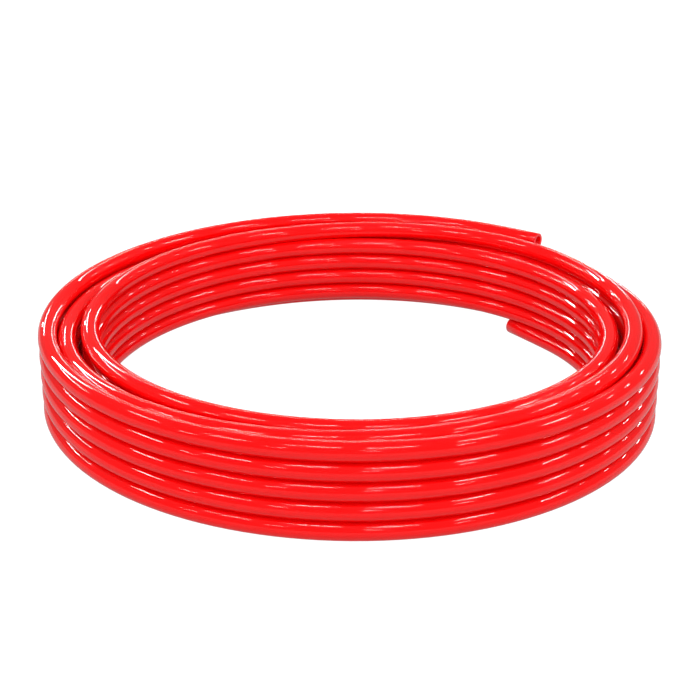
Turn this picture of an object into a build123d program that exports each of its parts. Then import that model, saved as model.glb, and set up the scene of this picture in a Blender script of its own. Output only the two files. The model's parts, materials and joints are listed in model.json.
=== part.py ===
"""Air hose in a storage coil: polyurethane tube, both ends cut bare.

Millimetres, +Z up. The origin is on the floor, under the middle of the coil.

The hose starts on the floor in the inner layer and winds clockwise, seen from above. It climbs the
inner layer, steps over to the middle layer at the top, comes down, and climbs the outer layer, where
it ends on top of the coil. Both ends lie one above the other, at the same angle round the coil.

hose_coil is the outer shape of all the turns together. hose_end_inner and hose_end_outer are the two
straight ends of the tube, which run on from the coil.
"""

from build123d import *
from math import atan, degrees, hypot
import os

# The tube
hose_diameter = 8.0
bore_diameter = 5.0
end_length = 20.0  # each end leaves the coil and runs straight for this far

# The winding: each radius is from the coil's axis to the middle of the tube
inner_layer_radius = 113.0
middle_layer_radius = 123.0
outer_layer_radius = 131.0
turns_per_layer = 5
turn_rise = 8.05  # turns of one layer lie on each other with hardly any gap
end_angle = 45.0  # degrees, anticlockwise from +X, where both ends of the hose are
crossing_angle = 80.0  # degrees of the top turn that step over to the middle layer

# How the coil's outer shape is simplified
crest_share = 0.75  # width of a layer's flat crest over the hose's own width
groove_share = 0.5  # depth of the grooves between crests over the hose's own width
end_room = 0.3  # space left round the inner end in its recess
inner_room_angle = 1.0  # degrees left open past the mouth of the inner end
low_turn_angle = 40.0  # degrees past the outer end where the outer layer is still one turn lower

hose_radius = hose_diameter / 2
coil_inner_radius = inner_layer_radius - hose_radius
coil_outer_radius = outer_layer_radius + hose_radius
half_crest = crest_share * hose_radius


def run_angle(layer_radius):
    """Degrees round the coil that a straight end takes up."""
    return degrees(atan(end_length / layer_radius))


# Centre heights: of the hose where it crosses to the middle layer, and of its two straight ends
crossing_height = hose_radius + turn_rise * (turns_per_layer - crossing_angle / 360)
inner_end_height = hose_radius + turn_rise * run_angle(inner_layer_radius) / 360
outer_end_height = hose_radius + turn_rise * (turns_per_layer - run_angle(outer_layer_radius) / 360)


def coil_section():
    """Half section of the coil: one flat crest for each layer, with a groove beside each."""
    inner_top = crossing_height + hose_radius
    outer_top = outer_end_height + hose_radius
    groove_top = inner_top - groove_share * hose_diameter
    crests = [
        (inner_layer_radius, inner_top),
        (middle_layer_radius, inner_top),
        (outer_layer_radius, outer_top),
    ]
    outline = [(coil_inner_radius, 0, 0), (coil_inner_radius, 0, groove_top)]
    for radius, top in crests:
        outline.append((radius - half_crest, 0, groove_top))
        outline.append((radius - half_crest, 0, top))
        outline.append((radius + half_crest, 0, top))
        outline.append((radius + half_crest, 0, groove_top))
    outline.append((coil_outer_radius, 0, groove_top))
    outline.append((coil_outer_radius, 0, 0))
    return make_face(Polyline(*outline, close=True))


def room(inside, outside, bottom, top, from_angle, to_angle):
    """Ring-shaped space between two radii and two heights, from one angle to another."""
    corners = [(inside, 0, bottom), (outside, 0, bottom), (outside, 0, top), (inside, 0, top)]
    section = make_face(Polyline(*corners, close=True))
    return Rot(0, 0, from_angle) * revolve(section, Axis.Z, to_angle - from_angle)


def make_coil():
    """The coil's outer shape, with a recess for each end of the hose."""
    coil = revolve(coil_section(), Axis.Z)
    coil -= room(
        inside=coil_inner_radius - hose_radius,
        outside=hypot(inner_layer_radius, end_length) + hose_radius + end_room,
        bottom=-hose_radius,
        top=inner_end_height + hose_radius + end_room,
        from_angle=end_angle - run_angle(inner_layer_radius),
        to_angle=end_angle + inner_room_angle,
    )
    coil -= room(
        inside=outer_layer_radius - hose_radius,
        outside=coil_outer_radius + hose_radius,
        bottom=outer_end_height - hose_radius,
        top=outer_end_height + hose_diameter,
        from_angle=end_angle - low_turn_angle,
        to_angle=end_angle + run_angle(outer_layer_radius),
    )
    return coil


def make_end(layer_radius, height, angle, heading):
    """Straight tube that leaves its layer at an angle; heading is 1 anticlockwise, -1 clockwise."""
    wall = Circle(hose_radius) - Circle(bore_diameter / 2)
    start = Plane(origin=(layer_radius, 0, height), x_dir=(1, 0, 0), z_dir=(0, heading, 0))
    return Rot(0, 0, angle) * extrude(start * wall, end_length)


os.makedirs("parts", exist_ok=True)

hose_coil = make_coil()
hose_end_inner = make_end(
    inner_layer_radius, inner_end_height, end_angle - run_angle(inner_layer_radius), heading=1
)
hose_end_outer = make_end(
    outer_layer_radius, outer_end_height, end_angle + run_angle(outer_layer_radius), heading=-1
)

export_step(hose_coil, "parts/hose_coil.step")
export_step(hose_end_inner, "parts/hose_end_inner.step")
export_step(hose_end_outer, "parts/hose_end_outer.step")
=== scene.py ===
"""The looks of the coiled air hose: one hollow glossy tube, wound in a three-layer storage coil.

Everything is in metres, in the frame of the CAD model. The hose follows one NURBS route, whose
points come from the same winding as the CAD: it starts on the floor in the inner layer, winds
clockwise seen from above, and ends on top of the outer layer.
"""

import json
import math

import bpy
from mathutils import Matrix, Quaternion, Vector


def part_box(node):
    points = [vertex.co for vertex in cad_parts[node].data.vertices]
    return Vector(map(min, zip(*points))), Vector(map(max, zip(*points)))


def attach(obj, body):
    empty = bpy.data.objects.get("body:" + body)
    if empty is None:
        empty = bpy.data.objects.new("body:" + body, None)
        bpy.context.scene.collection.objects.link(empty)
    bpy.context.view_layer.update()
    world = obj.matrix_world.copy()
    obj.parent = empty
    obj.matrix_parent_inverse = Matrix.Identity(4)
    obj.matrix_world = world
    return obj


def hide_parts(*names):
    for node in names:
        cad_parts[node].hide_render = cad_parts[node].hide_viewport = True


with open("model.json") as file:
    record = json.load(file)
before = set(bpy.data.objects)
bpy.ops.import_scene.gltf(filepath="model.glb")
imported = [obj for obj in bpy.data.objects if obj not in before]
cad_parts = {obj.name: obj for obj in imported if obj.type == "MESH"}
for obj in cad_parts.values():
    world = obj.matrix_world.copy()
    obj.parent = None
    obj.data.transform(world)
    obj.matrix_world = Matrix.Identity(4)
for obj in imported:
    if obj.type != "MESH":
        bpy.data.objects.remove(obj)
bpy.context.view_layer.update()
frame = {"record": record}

UP = Vector((0, 0, 1))
WHITE = (1, 1, 1, 1)

# The tube, from the ends in the CAD model and the mount in the record
END_LOW, END_HIGH = (Vector(corner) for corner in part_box("hose_end_outer"))
BORE_MOUNT = next(m for m in frame["record"]["mounts"] if m["name"] == "outer_end_bore")
HOSE_DIAMETER = END_HIGH.z - END_LOW.z
HOSE_RADIUS = HOSE_DIAMETER / 2
BORE_RADIUS = BORE_MOUNT["dims"]["r_mm"] / 1000
END_LENGTH = BORE_MOUNT["dims"]["length_mm"] / 1000

# The winding: each radius is from the coil's axis to the middle of the tube
COIL_HIGH = Vector(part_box("hose_coil")[1])
OUTER_LAYER = COIL_HIGH.x - HOSE_RADIUS
MIDDLE_LAYER = OUTER_LAYER - HOSE_DIAMETER
INNER_LAYER = MIDDLE_LAYER - 1.25 * HOSE_DIAMETER  # it stands a quarter of a tube off
LAYERS = 3
TURNS_PER_LAYER = 5
TURN_RISE = 0.00805
END_ANGLE = math.radians(45)
CROSSING = 80 / 360  # share of a turn that steps over to the next layer
POINTS_PER_TURN = 36
SAMPLES_PER_POINT = 4

# The hose's mesh
SIDES = 28
BORE_STEP = 4  # the bore takes every fourth sample of the route
LIP = 0.00015  # chamfer of the cut edges
UV_NAME = "round_and_along"

# The main viewpoint
CAMERA_ELEVATION = 22.54  # degrees above the floor
CAMERA_DISTANCE = 0.654
CAMERA_LENS = 75.63
AIM = Vector((0, 0, 0.0243))

# The white room, which looks brighter to the camera than it is to the hose
FLOOR_REACH = 6
FLOOR_GLOW = 0.32
ROOM_GLOW = 0.2
SEEN_GLOW = 1.0  # as the camera sees both

# Soft keys, which leave no glint: azimuth and elevation in degrees, brightness
LAMP_DISTANCE = 2.0
KEY_WIDTH = 1.4
KEY_HEIGHT = 1.0
KEYS = (
    (-90, 60, 4.2),
    (-90, 16, 4.0),
    (90, 60, 2.4),
    (90, 16, 3.3),
    (180, 32, 3.2),
    (0, 32, 3.3),
)

# Lamps mirrored in the gloss: name, azimuth and elevation in degrees that the hose faces where the
# main view sees the lamp, width, height, brightness, roll in degrees
GLINTS = (
    # Thin lines along the tops of the crests, from low down behind the coil
    ("rim_outer", -90, 84, 1.6, 0.03, 22, 0),
    ("rim_inner", 90, 84, 1.6, 0.03, 16, 0),
    # Left side: a tall window on the crests, two strips on the walls, a spot and an arc
    ("window_left", -156, 58, 0.15, 0.58, 36, 35),
    ("strip_left_high", -151, 46, 0.70, 0.03, 50, 0),
    ("strip_left_low", -145, 41, 0.40, 0.03, 45, 8),
    ("spot_left", 190, 48, 0.06, 0.06, 90, 0),
    ("arc_left", 190, 60, 0.40, 0.03, 36, 0),
    # Right side: one long arc on the crests
    ("arc_right", 4, 60, 0.45, 0.03, 36, 0),
)

# Rows of the same lamps: name, azimuths, elevations taken in turn, width, height, brightness, roll
GLINT_ROWS = (
    # Dashes along the front of the coil and along the inside of its back
    ("dash_high", (-128, -111, -96, -82, -67, -51), (43, 40), 0.52, 0.055, 42, 4),
    ("dash_low", (-118, -102, -86, -70), (26,), 0.24, 0.05, 24, 4),
    # Short windows at the front right
    ("window_right", (-43, -36, -30, -24), (45,), 0.16, 0.03, 42, 0),
)


def smooth_step(share):
    """Runs from 0 to 1 with no corner at either end."""
    share = min(max(share, 0), 1)
    return share**2 * (3 - 2 * share)


def layer_position(turns):
    """Radius and height of the hose after some turns, from the start of the inner layer."""
    layer = min(int(turns // TURNS_PER_LAYER), LAYERS - 1)
    wound = turns - layer * TURNS_PER_LAYER
    climb = TURN_RISE * min(wound, TURNS_PER_LAYER)
    crossed = smooth_step((wound - TURNS_PER_LAYER + CROSSING) / CROSSING)
    crossing_height = TURN_RISE * (TURNS_PER_LAYER - CROSSING)
    if layer == 0:
        radius = INNER_LAYER + (MIDDLE_LAYER - INNER_LAYER) * crossed
        return radius, HOSE_RADIUS + min(climb, crossing_height)
    if layer == 1:
        radius = MIDDLE_LAYER + (OUTER_LAYER - MIDDLE_LAYER) * crossed
        return radius, HOSE_RADIUS + crossing_height * (1 - wound / TURNS_PER_LAYER)
    return OUTER_LAYER, HOSE_RADIUS + climb


def route_point(turns):
    """Control point of the route; the first and last stretch run straight off their layer."""
    inner_run = math.atan(END_LENGTH / INNER_LAYER) / math.tau
    outer_run = math.atan(END_LENGTH / OUTER_LAYER) / math.tau
    on_coil = min(max(turns, inner_run), LAYERS * TURNS_PER_LAYER - outer_run)
    radius, height = layer_position(on_coil)
    if turns == on_coil:
        radius /= math.cos(math.pi / POINTS_PER_TURN)  # the spline cuts inside its points
    else:
        radius /= math.cos(math.tau * (turns - on_coil))
    angle = END_ANGLE - math.tau * turns
    return Vector((radius * math.cos(angle), radius * math.sin(angle), height))


def read_route():
    """Points along the hose's centreline, read from its NURBS spline."""
    curve = bpy.data.curves.new("hose_route", "CURVE")
    curve.dimensions = "3D"
    curve.resolution_u = SAMPLES_PER_POINT
    spline = curve.splines.new("NURBS")
    spline.points.add(LAYERS * TURNS_PER_LAYER * POINTS_PER_TURN)
    for number, point in enumerate(spline.points):
        point.co = (*route_point(number / POINTS_PER_TURN), 1)
    spline.order_u = 3
    spline.use_endpoint_u = True
    spline.resolution_u = SAMPLES_PER_POINT
    route = bpy.data.objects.new("hose_route", curve)
    line = bpy.data.meshes.new_from_object(route)
    path = [vertex.co.copy() for vertex in line.vertices]
    bpy.data.objects.remove(route)
    bpy.data.meshes.remove(line)
    bpy.data.curves.remove(curve)
    return path


def section_rings(path):
    """Centre, axis, radius and distance along of each ring: out along the wall, back in the bore.

    Also gives the number of the ring that the far cut face starts from.
    """
    last = len(path) - 1
    axes = [(path[min(i + 1, last)] - path[max(i - 1, 0)]).normalized() for i in range(last + 1)]
    distance = [0.0]
    for here, after in zip(path, path[1:]):
        distance.append(distance[-1] + (after - here).length)

    def ring(index, radius, forward=0.0):
        centre = path[index] + axes[index] * forward
        return centre, axes[index], radius, distance[index]

    wall = [ring(i, HOSE_RADIUS) for i in range(1, last)]
    bore = [ring(i, BORE_RADIUS) for i in range(last - BORE_STEP, 0, -BORE_STEP)]
    start_lip = [ring(0, HOSE_RADIUS - LIP), ring(0, HOSE_RADIUS, LIP)]
    end_lip = [ring(last, HOSE_RADIUS, -LIP), ring(last, HOSE_RADIUS - LIP)]
    end_mouth = [ring(last, BORE_RADIUS + LIP), ring(last, BORE_RADIUS, -LIP)]
    start_mouth = [ring(0, BORE_RADIUS, LIP), ring(0, BORE_RADIUS + LIP)]
    rings = start_lip + wall + end_lip + end_mouth + bore + start_mouth
    end_cut = len(start_lip) + len(wall) + len(end_lip) - 1
    return rings, end_cut


def ring_vertices(rings):
    """Points round every ring, from its side up over its top."""
    vertices = []
    for centre, axis, radius, _ in rings:
        side = UP.cross(axis).normalized()
        top = axis.cross(side)
        for step in range(SIDES):
            angle = math.tau * step / SIDES
            vertices.append(centre + radius * (side * math.cos(angle) + top * math.sin(angle)))
    return vertices


def ring_faces(rings):
    """Quads from each ring to the next, and each corner's place round and along the tube."""
    faces = []
    places = []
    for ring in range(len(rings)):
        after = (ring + 1) % len(rings)
        here, there = rings[ring][3], rings[after][3]
        for step in range(SIDES):
            turn = (step + 1) % SIDES
            near = (ring * SIDES + step, ring * SIDES + turn)
            far = (after * SIDES + turn, after * SIDES + step)
            faces.append(near + far)
            left, right = step / SIDES, (step + 1) / SIDES
            places += [(left, here), (right, here), (right, there), (left, there)]
    return faces, places


def make_hose(path, plastic, cut_face):
    """The whole tube as one closed mesh, with its bore and its two flat cut faces."""
    rings, end_cut = section_rings(path)
    cuts = (end_cut, len(rings) - 1)
    faces, places = ring_faces(rings)
    mesh = bpy.data.meshes.new("air_hose")
    mesh.from_pydata(ring_vertices(rings), [], faces)
    layer = mesh.uv_layers.new(name=UV_NAME)
    for loop, place in enumerate(places):
        layer.data[loop].uv = place
    mesh.materials.append(plastic)
    mesh.materials.append(cut_face)
    for number, face in enumerate(mesh.polygons):
        is_cut = number // SIDES in cuts
        face.material_index = int(is_cut)
        face.use_smooth = not is_cut
    hose = bpy.data.objects.new("air_hose", mesh)
    bpy.context.collection.objects.link(hose)
    return hose


def new_material(name):
    """Material with its node tree and its shader."""
    material = bpy.data.materials.new(name)
    material.use_nodes = True
    tree = material.node_tree
    return material, tree, tree.nodes["Principled BSDF"]


def add_noise(tree, vector, scale, detail=2.0):
    """Noise texture over a vector socket; gives its strength output."""
    noise = tree.nodes.new("ShaderNodeTexNoise")
    noise.inputs["Scale"].default_value = scale
    noise.inputs["Detail"].default_value = detail
    tree.links.new(vector, noise.inputs["Vector"])
    return noise.outputs["Fac"]


def mix_colours(tree, factor, low, high):
    """Node that mixes two colours by a factor socket; gives its colour output."""
    ramp = tree.nodes.new("ShaderNodeValToRGB")
    ramp.color_ramp.elements[0].color = (*low, 1)
    ramp.color_ramp.elements[1].color = (*high, 1)
    tree.links.new(factor, ramp.inputs["Fac"])
    return ramp.outputs["Color"]


def scale_value(tree, factor, low, high):
    """Node that takes a factor of 0 to 1 to a range; gives its output."""
    spread = tree.nodes.new("ShaderNodeMapRange")
    spread.inputs["To Min"].default_value = low
    spread.inputs["To Max"].default_value = high
    tree.links.new(factor, spread.inputs["Value"])
    return spread.outputs["Result"]


def add_bump(tree, shader, height, strength, distance):
    """Fine relief on a shader from a height socket."""
    bump = tree.nodes.new("ShaderNodeBump")
    bump.inputs["Strength"].default_value = strength
    bump.inputs["Distance"].default_value = distance
    tree.links.new(height, bump.inputs["Height"])
    tree.links.new(bump.outputs["Normal"], shader.inputs["Normal"])


def plastic_material():
    """Glossy red polyurethane, with faint lines along the tube from the die that drew it."""
    material, tree, shader = new_material("glossy_red_polyurethane")
    shader.inputs["IOR"].default_value = 1.5

    place = tree.nodes.new("ShaderNodeTexCoord")
    cloud = add_noise(tree, place.outputs["Object"], 45, detail=3)
    colour = mix_colours(tree, cloud, (0.88, 0.001, 0.0015), (0.94, 0.002, 0.003))
    tree.links.new(colour, shader.inputs["Base Color"])
    tree.links.new(scale_value(tree, cloud, 0.02, 0.045), shader.inputs["Roughness"])

    tube = tree.nodes.new("ShaderNodeUVMap")
    tube.uv_map = UV_NAME
    stretch = tree.nodes.new("ShaderNodeMapping")
    stretch.inputs["Scale"].default_value = (24, 6, 1)
    tree.links.new(tube.outputs["UV"], stretch.inputs["Vector"])
    die_lines = add_noise(tree, stretch.outputs["Vector"], 1)
    add_bump(tree, shader, die_lines, 0.3, 0.00001)
    return material


def cut_material():
    """The same plastic where a blade has cut it: duller, with fine scratches."""
    material, tree, shader = new_material("cut_red_polyurethane")
    place = tree.nodes.new("ShaderNodeTexCoord")
    grain = add_noise(tree, place.outputs["Object"], 900)
    colour = mix_colours(tree, grain, (0.84, 0.02, 0.025), (0.92, 0.035, 0.04))
    tree.links.new(colour, shader.inputs["Base Color"])
    tree.links.new(scale_value(tree, grain, 0.3, 0.5), shader.inputs["Roughness"])
    add_bump(tree, shader, grain, 0.2, 0.00005)
    return material


def seen_or_mirrored(tree, glow):
    """Strength of a white surface: bright where the camera sees it, its own glow elsewhere."""
    rays = tree.nodes.new("ShaderNodeLightPath")
    return scale_value(tree, rays.outputs["Is Camera Ray"], glow, SEEN_GLOW)


def make_floor():
    """Plain white table top: white to look at, light grey where the hose mirrors it."""
    material, tree, shader = new_material("white_table")
    shader.inputs["Base Color"].default_value = (0.2, 0.2, 0.2, 1)
    shader.inputs["Roughness"].default_value = 0.9
    shader.inputs["Specular IOR Level"].default_value = 0
    shader.inputs["Emission Color"].default_value = WHITE
    tree.links.new(seen_or_mirrored(tree, FLOOR_GLOW), shader.inputs["Emission Strength"])
    mesh = bpy.data.meshes.new("floor")
    corners = ((-1, -1), (1, -1), (1, 1), (-1, 1))
    points = [(x * FLOOR_REACH, y * FLOOR_REACH, 0) for x, y in corners]
    mesh.from_pydata(points, [], [(0, 1, 2, 3)])
    mesh.materials.append(material)
    floor = bpy.data.objects.new("floor", mesh)
    bpy.context.collection.objects.link(floor)


def make_room():
    """White surroundings that light the hose only dimly."""
    world = bpy.data.worlds.new("studio")
    world.use_nodes = True
    tree = world.node_tree
    background = tree.nodes["Background"]
    background.inputs["Color"].default_value = WHITE
    tree.links.new(seen_or_mirrored(tree, ROOM_GLOW), background.inputs["Strength"])
    bpy.context.scene.world = world


def direction(azimuth, elevation):
    """Unit vector from two angles in degrees; azimuth is anticlockwise from +X."""
    around, above = math.radians(azimuth), math.radians(elevation)
    flat = math.cos(above)
    return Vector((flat * math.cos(around), flat * math.sin(around), math.sin(above)))


def add_panel(name, away, width, height, brightness, shape="RECTANGLE", roll=0.0):
    """Lamp that faces the coil from a direction; an oval is a little brighter than it says."""
    lamp = bpy.data.lights.new(name, "AREA")
    lamp.shape = shape
    lamp.size = width
    lamp.size_y = height
    lamp.energy = brightness * math.pi * width * height
    panel = bpy.data.objects.new(name, lamp)
    panel.location = AIM + LAMP_DISTANCE * away
    turn = Quaternion(UP, math.radians(roll))
    panel.rotation_euler = (away.to_track_quat("Z", "Y") @ turn).to_euler()
    panel.visible_camera = False
    bpy.context.collection.objects.link(panel)
    return panel


def add_glint(name, azimuth, elevation, width, height, brightness, roll):
    """Oval lamp that the main view sees mirrored where the hose faces these two angles."""
    facing = direction(azimuth, elevation)
    to_camera = direction(-90, CAMERA_ELEVATION)
    away = 2 * facing.dot(to_camera) * facing - to_camera
    panel = add_panel(name, away, width, height, brightness, "ELLIPSE", roll)
    panel.visible_diffuse = False


def add_lamps():
    """Soft keys for the colour, and separate lamps that show only in the gloss."""
    for number, (azimuth, elevation, brightness) in enumerate(KEYS):
        away = direction(azimuth, elevation)
        key = add_panel(f"key_{number}", away, KEY_WIDTH, KEY_HEIGHT, brightness)
        key.visible_glossy = False
    for name, azimuths, elevations, *shape_and_light in GLINT_ROWS:
        for number, azimuth in enumerate(azimuths):
            elevation = elevations[number % len(elevations)]
            add_glint(f"{name}_{number}", azimuth, elevation, *shape_and_light)
    for glint in GLINTS:
        add_glint(*glint)


def place_camera():
    """Camera at the main viewpoint, aimed at the middle of the coil."""
    data = bpy.data.cameras.new("camera")
    data.lens = CAMERA_LENS
    data.sensor_width = 36
    camera = bpy.data.objects.new("camera", data)
    back = direction(-90, CAMERA_ELEVATION)
    camera.location = AIM + CAMERA_DISTANCE * back
    camera.rotation_euler = back.to_track_quat("Z", "Y").to_euler()
    bpy.context.collection.objects.link(camera)
    bpy.context.scene.camera = camera


place_camera()
hose_path = read_route()
air_hose = make_hose(hose_path, plastic_material(), cut_material())
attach(air_hose, "root")
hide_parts("hose_coil", "hose_end_inner", "hose_end_outer")
make_floor()
make_room()
add_lamps()
bpy.context.scene.view_settings.view_transform = "Standard"
